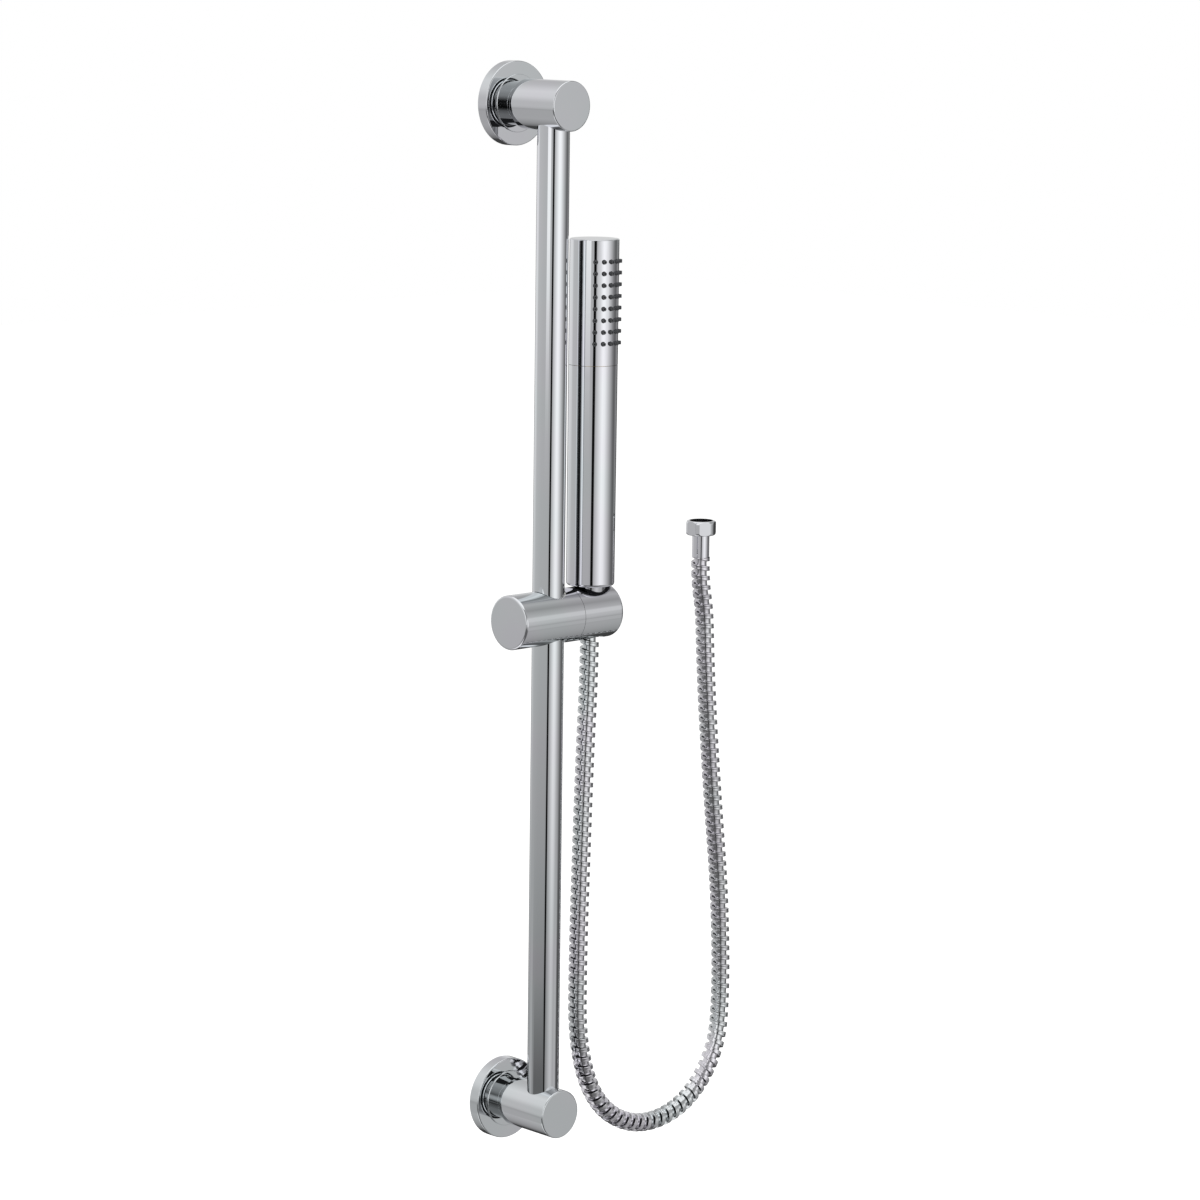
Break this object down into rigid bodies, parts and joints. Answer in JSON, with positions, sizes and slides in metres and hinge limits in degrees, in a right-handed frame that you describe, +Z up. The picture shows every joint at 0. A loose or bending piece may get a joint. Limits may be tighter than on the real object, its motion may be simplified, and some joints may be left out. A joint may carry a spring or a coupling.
{
  "type": "handheld shower",
  "caption": "Chrome baton hand shower in a swivel holder on a wall-mounted slide rail, with a hanging metal hose and a free union nut.",
  "frame": {"origin": "midway between the two wall fixings, on the wall plane", "axes": "+Z up along the rail, +Y into the wall (the set stands out along -Y), +X towards the hand shower's side"},
  "size_m": [0.2462, 0.072, 0.8631],
  "materials": {
    "chrome": "polished",
    "hose_metal": "polished",
    "zinc_casting": "matte",
    "steel": "satin",
    "brass": "satin",
    "grey_rubber": "matte",
    "black_rubber": "matte",
    "white_plastic": "matte",
    "dark_plastic": "satin"
  },
  "bodies": {
    "rail": {"rail_tube": "chrome", "lower_anchor": "zinc_casting", "lower_flange": "chrome", "lower_post": "chrome", "lower_grub_screw": "steel", "upper_anchor": "zinc_casting", "upper_flange": "chrome", "upper_post": "chrome", "upper_grub_screw": "steel"},
    "slider": {"slider_body": "chrome", "slider_cap": "chrome", "rail_bush": "white_plastic", "brake_pad": "white_plastic", "brake_springs": "steel", "brake_plug": "brass", "friction_ring": "white_plastic", "pivot_screw": "steel", "hose": "hose_metal", "end_sleeve": "chrome"},
    "holder": {"holder": "chrome", "socket_liner": "dark_plastic", "handle_shell": "chrome", "spray_shell": "chrome", "top_cap": "chrome", "nozzle_mat": "grey_rubber", "spray_chamber": "white_plastic", "joint_sleeve": "brass", "joint_seal": "black_rubber", "inlet_nipple": "brass", "lock_nut": "brass", "flow_limiter": "white_plastic", "water_tube": "white_plastic", "cone_nut": "chrome", "inlet_seal": "black_rubber", "top_insert": "brass"},
    "hose_nut": {"union_nut": "chrome", "union_seal": "black_rubber"}
  },
  "joints": [
    {"name": "slider_height", "type": "slide", "parent": "rail", "child": "slider", "axis": [0, 0, 1], "range_m": [-0.353, 0.353]},
    {"name": "holder_tilt", "type": "hinge", "parent": "slider", "child": "holder", "pos_m": [0.0205, -0.0505, 0], "axis": [1, 0, 0], "range_deg": [-3, 45], "deforming": ["hose"]},
    {"name": "union_nut_spin", "type": "hinge", "parent": "slider", "child": "hose_nut", "pos_m": [0.1655, -0.0505, 0.055], "axis": [0, 0, 1], "continuous": true}
  ]
}
